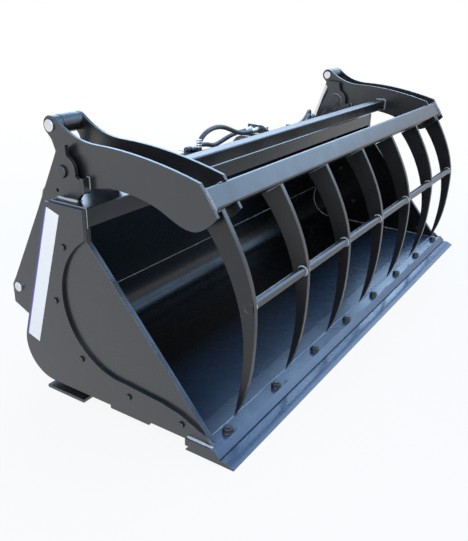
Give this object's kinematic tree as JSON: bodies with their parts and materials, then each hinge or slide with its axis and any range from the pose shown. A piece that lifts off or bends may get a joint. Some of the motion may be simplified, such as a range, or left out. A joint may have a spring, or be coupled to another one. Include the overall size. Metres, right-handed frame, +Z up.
{
  "type": "grab bucket",
  "caption": "Wide telehandler bucket with a curved-tine hydraulic grab hinged over its mouth and a cylinder at each end.",
  "frame": {"origin": "on the ground, under the middle of the whole part's box", "axes": "+X along the width to the right end, +Y from the cutting edge to the carriage side, +Z up"},
  "size_m": [2.3, 0.995, 0.935],
  "materials": {
    "satin_paint": "satin black paint over welded plate",
    "dark_paint": "black paint on machined parts",
    "zinc_steel": "bright zinc plated steel",
    "rod_chrome": "hard chrome, polished",
    "hose_rubber": "matt hose cover",
    "marker_film": "plain white film"
  },
  "bodies": {
    "bucket": {"heel_floor_sheet": "satin_paint", "back_sheet": "satin_paint", "top_beam": "satin_paint", "end_sheet_left": "satin_paint", "end_sheet_right": "satin_paint", "side_plate_left": "satin_paint", "side_plate_right": "satin_paint", "mouth_bar_left": "satin_paint", "mouth_bar_right": "satin_paint", "side_plate_bolts": "dark_paint", "marker_strips": "marker_film", "toe_plate": "satin_paint", "bolt_on_edge": "satin_paint", "edge_bolts": "dark_paint", "edge_nuts": "dark_paint", "heel_wear_strip": "satin_paint", "middle_wear_strip": "satin_paint", "heel_packers": "satin_paint", "tower_outer_left": "satin_paint", "tower_outer_right": "satin_paint", "tower_inner_left": "satin_paint", "tower_inner_right": "satin_paint", "tower_cheeks": "satin_paint", "pivot_pins": "dark_paint", "base_pins": "zinc_steel", "pin_keepers": "zinc_steel", "carriage_bracket_left": "satin_paint", "carriage_bracket_right": "satin_paint", "bracket_backing_plates": "satin_paint", "hose_manifold": "dark_paint", "coupler_holder": "satin_paint", "hose_couplers": "zinc_steel", "hose_clips": "dark_paint", "cylinder_hoses_left": "hose_rubber", "cylinder_hoses_right": "hose_rubber", "supply_hoses": "hose_rubber"},
    "grab": {"grab_arm_outer_left": "satin_paint", "grab_arm_outer_right": "satin_paint", "grab_arm_inner_left": "satin_paint", "grab_arm_inner_right": "satin_paint", "pivot_bushes": "dark_paint", "rod_pins": "zinc_steel", "rod_spacers": "satin_paint", "closing_stops": "satin_paint", "front_rail": "satin_paint", "cross_rail": "satin_paint", "tine_1": "satin_paint", "tine_2": "satin_paint", "tine_3": "satin_paint", "tine_4": "satin_paint", "tine_5": "satin_paint", "tine_6": "satin_paint", "tine_7": "satin_paint", "tine_cross_bar": "satin_paint"},
    "barrel_left": {"barrel_left": "dark_paint", "gland_left": "dark_paint"},
    "barrel_right": {"barrel_right": "dark_paint", "gland_right": "dark_paint"},
    "rod_left": {"rod_left": "rod_chrome"},
    "rod_right": {"rod_right": "rod_chrome"}
  },
  "joints": [
    {"name": "grab_open", "type": "hinge", "parent": "bucket", "child": "grab", "pos_m": [0, 0.1865, 0.777], "axis": [-1, 0, 0], "range_deg": [0, 55]},
    {"name": "barrel_left_swing", "type": "hinge", "parent": "bucket", "child": "barrel_left", "pos_m": [-0.9915, 0.4605, 0.32], "axis": [-1, 0, 0], "range_deg": [0, 5.2]},
    {"name": "rod_left_slide", "type": "slide", "parent": "barrel_left", "child": "rod_left", "axis": [0, 0.3321, -0.9432], "range_m": [0, 0.1255]},
    {"name": "barrel_right_swing", "type": "hinge", "parent": "bucket", "child": "barrel_right", "pos_m": [0.9915, 0.4605, 0.32], "axis": [-1, 0, 0], "range_deg": [0, 5.2]},
    {"name": "rod_right_slide", "type": "slide", "parent": "barrel_right", "child": "rod_right", "axis": [0, 0.3321, -0.9432], "range_m": [0, 0.1255]}
  ],
  "couplings": [
    {"joint": "barrel_left_swing", "follows": "grab_open", "ratio": 0.0926},
    {"joint": "rod_left_slide", "follows": "grab_open", "m_per_rad": 0.13017},
    {"joint": "barrel_right_swing", "follows": "grab_open", "ratio": 0.0926},
    {"joint": "rod_right_slide", "follows": "grab_open", "m_per_rad": 0.13017}
  ]
}
